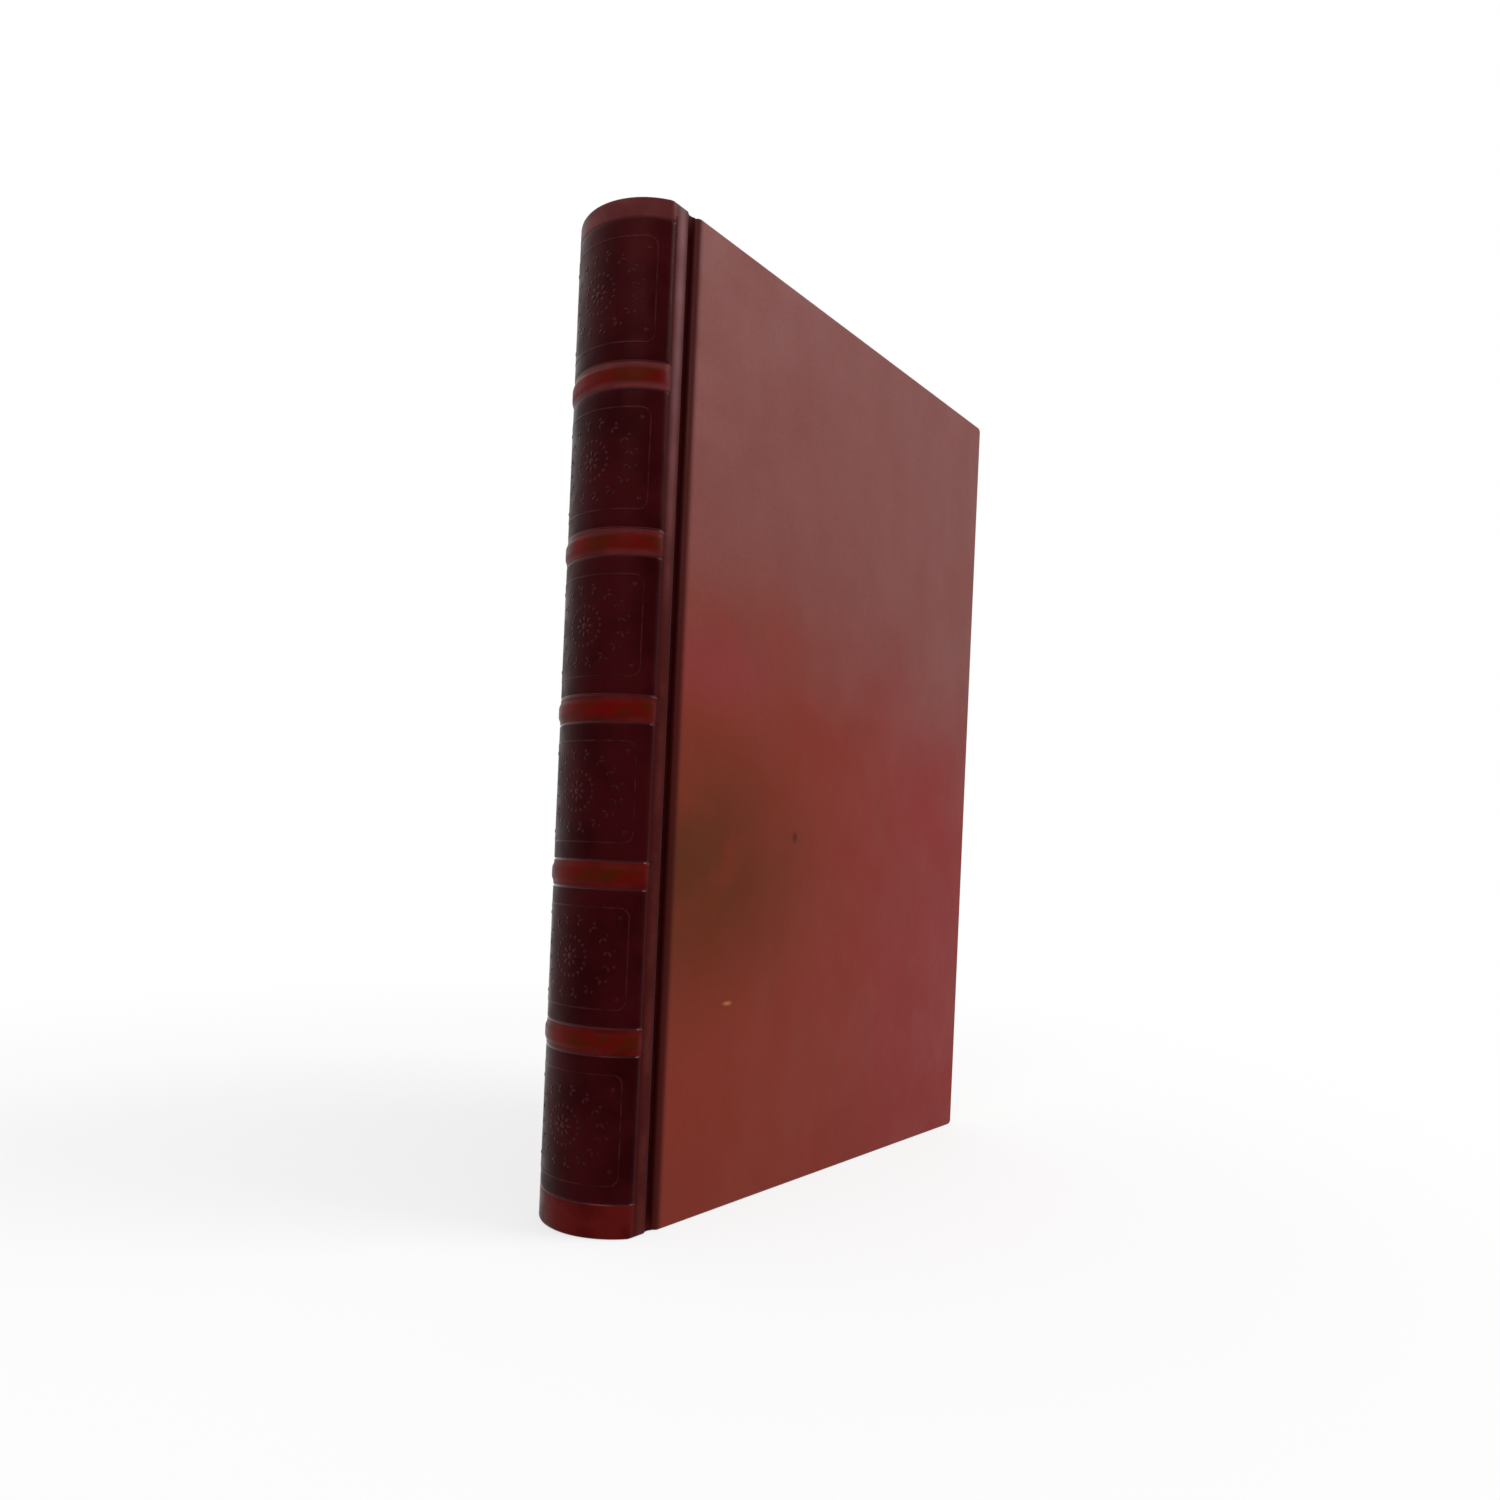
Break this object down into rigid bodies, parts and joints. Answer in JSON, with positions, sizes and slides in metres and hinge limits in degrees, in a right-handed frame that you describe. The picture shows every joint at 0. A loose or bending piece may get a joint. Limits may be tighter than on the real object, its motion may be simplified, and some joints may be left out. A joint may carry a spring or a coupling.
{
  "type": "leather-bound book",
  "caption": "Upright leather-bound book with a rounded back, raised bands, sunk joints and two hinged covers.",
  "frame": {"origin": "middle of the base, on the surface that the book stands on", "axes": "+Z from tail to head, +X from the spine to the fore-edge, front cover on the -Y side"},
  "size_m": [0.1665, 0.031, 0.24],
  "materials": {
    "pages": "matt",
    "endpaper": "matt",
    "lining": "matt",
    "card": "matt",
    "silk": "satin",
    "spine_calf": "semi-gloss, blind tooled",
    "cover_calf": "semi-gloss"
  },
  "bodies": {
    "root": {"text_block": "pages", "front_flyleaf": "endpaper", "rear_flyleaf": "endpaper", "spine_lining": "lining", "spine_inlay": "card", "band_core_1": "card", "band_core_2": "card", "band_core_3": "card", "band_core_4": "card", "band_core_5": "card", "headband": "silk", "tailband": "silk", "spine_leather": "spine_calf"},
    "front_cover": {"front_board": "card", "front_infill": "card", "front_pastedown": "endpaper", "front_cover_leather": "cover_calf"},
    "rear_cover": {"rear_board": "card", "rear_infill": "card", "rear_pastedown": "endpaper", "rear_cover_leather": "cover_calf"}
  },
  "joints": [
    {"name": "front_cover_hinge", "type": "hinge", "parent": "root", "child": "front_cover", "pos_m": [-0.06785, -0.0155, 0.12], "axis": [0, 0, -1], "range_deg": [0, 175]},
    {"name": "rear_cover_hinge", "type": "hinge", "parent": "root", "child": "rear_cover", "pos_m": [-0.06785, 0.0155, 0.12], "axis": [0, 0, 1], "range_deg": [0, 175]}
  ]
}
